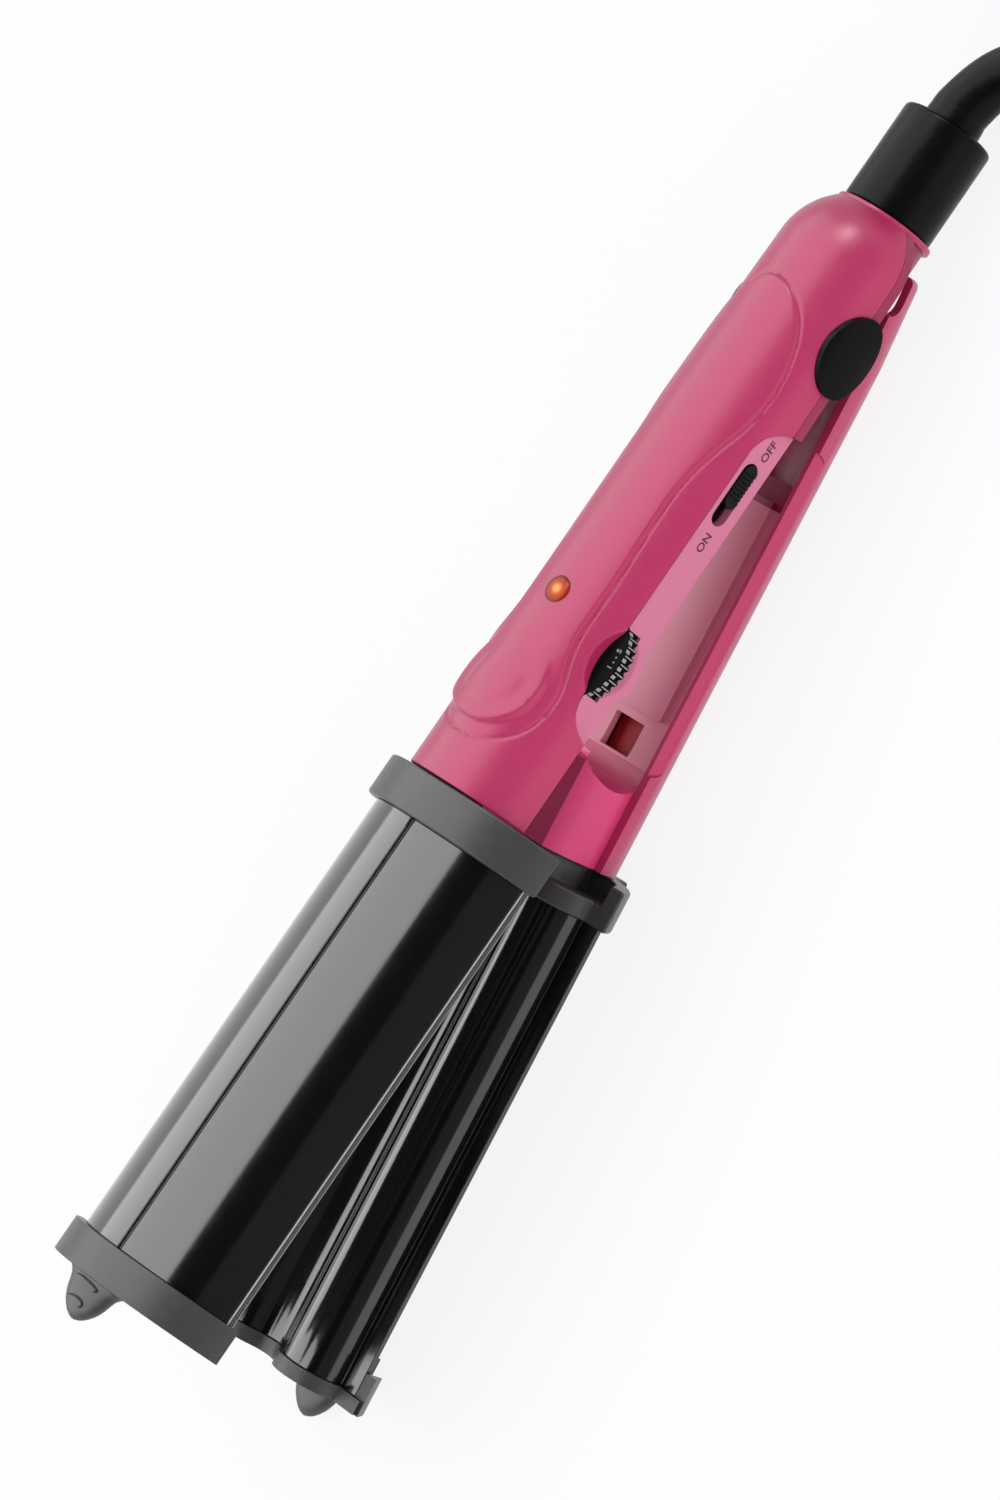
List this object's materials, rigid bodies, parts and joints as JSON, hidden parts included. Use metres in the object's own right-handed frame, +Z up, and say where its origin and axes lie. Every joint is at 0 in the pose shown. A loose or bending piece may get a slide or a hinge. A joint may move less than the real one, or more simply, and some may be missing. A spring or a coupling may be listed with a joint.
{
  "type": "hair waver",
  "caption": "Hand-held hair waver with tweezer arms: pink handle, arched jaws with barrel and ridge plates, side switch, heat dial and cord.",
  "frame": {"origin": "middle of the waver without its lead, on the surface that it lies on", "axes": "+X from the cord end to the tip, +Y to the switch and dial side, +Z up"},
  "size_m": [0.5081, 0.0838, 0.0858],
  "materials": {
    "pink_plastic": "satin moulded plastic",
    "grey_plastic": "satin heat resistant plastic",
    "black_gloss": "gloss black",
    "coated_plate": "gloss black ceramic coat on aluminium",
    "black_plastic": "fine grained black",
    "amber_lens": "translucent amber",
    "lamp": "clear lamp body",
    "board": "coated laminate",
    "heater": "fired ceramic look",
    "steel": "plain steel",
    "brass": "plain brass",
    "cord_rubber": "matte black"
  },
  "bodies": {
    "upper_arm": {"upper_top_cover": "pink_plastic", "upper_base_cover": "pink_plastic", "indicator_lens": "amber_lens", "indicator_lamp": "lamp", "circuit_board": "board", "switch_body": "black_plastic", "dial_control": "black_plastic", "hinge_pin": "steel", "hinge_cap_near": "black_plastic", "hinge_cap_far": "black_plastic", "hinge_spring": "steel", "upper_root_collar": "grey_plastic", "upper_jaw_shell": "black_gloss", "upper_wave_plate": "coated_plate", "upper_heater": "heater", "upper_heater_clip": "steel", "upper_tip_cap": "grey_plastic", "cover_screws": "steel", "swivel_sleeve": "black_plastic", "strain_relief": "cord_rubber", "cord_lead": "cord_rubber", "cord_coil": "cord_rubber", "cord_tie": "cord_rubber", "plug_body": "cord_rubber", "plug_blades": "brass"},
    "lower_arm": {"lower_handle_shell": "pink_plastic", "lower_inner_cover": "pink_plastic", "hinge_bushes": "brass", "lower_root_collar": "grey_plastic", "lower_jaw_shell": "black_gloss", "lower_wave_plate": "coated_plate", "lower_heaters": "heater", "lower_heater_clip": "steel", "lower_tip_cap": "grey_plastic", "lower_screws": "steel"},
    "power_switch": {"switch_slider": "black_plastic"},
    "heat_dial": {"temperature_dial": "black_plastic"},
    "cord_swivel": {"swivel_spool": "brass"}
  },
  "joints": [
    {"name": "arm_hinge", "type": "hinge", "parent": "upper_arm", "child": "lower_arm", "pos_m": [-0.10713, 0, 0.0253], "axis": [0, -1, 0], "range_deg": [0, 10], "stiffness_Nm_per_rad": 1, "springref_deg": -34.38, "deforming": ["hinge_spring"]},
    {"name": "switch_slide", "type": "slide", "parent": "upper_arm", "child": "power_switch", "axis": [0.9848, 0, 0.1736], "range_m": [0, 0.0044]},
    {"name": "dial_turn", "type": "hinge", "parent": "upper_arm", "child": "heat_dial", "pos_m": [-0.02257, 0.007, 0.04447], "axis": [-0.1736, 0, 0.9848], "range_deg": [-135, 135]},
    {"name": "swivel_turn", "type": "hinge", "parent": "upper_arm", "child": "cord_swivel", "pos_m": [-0.14968, 0, 0.01323], "axis": [0.9848, 0, 0.1736], "continuous": true}
  ]
}
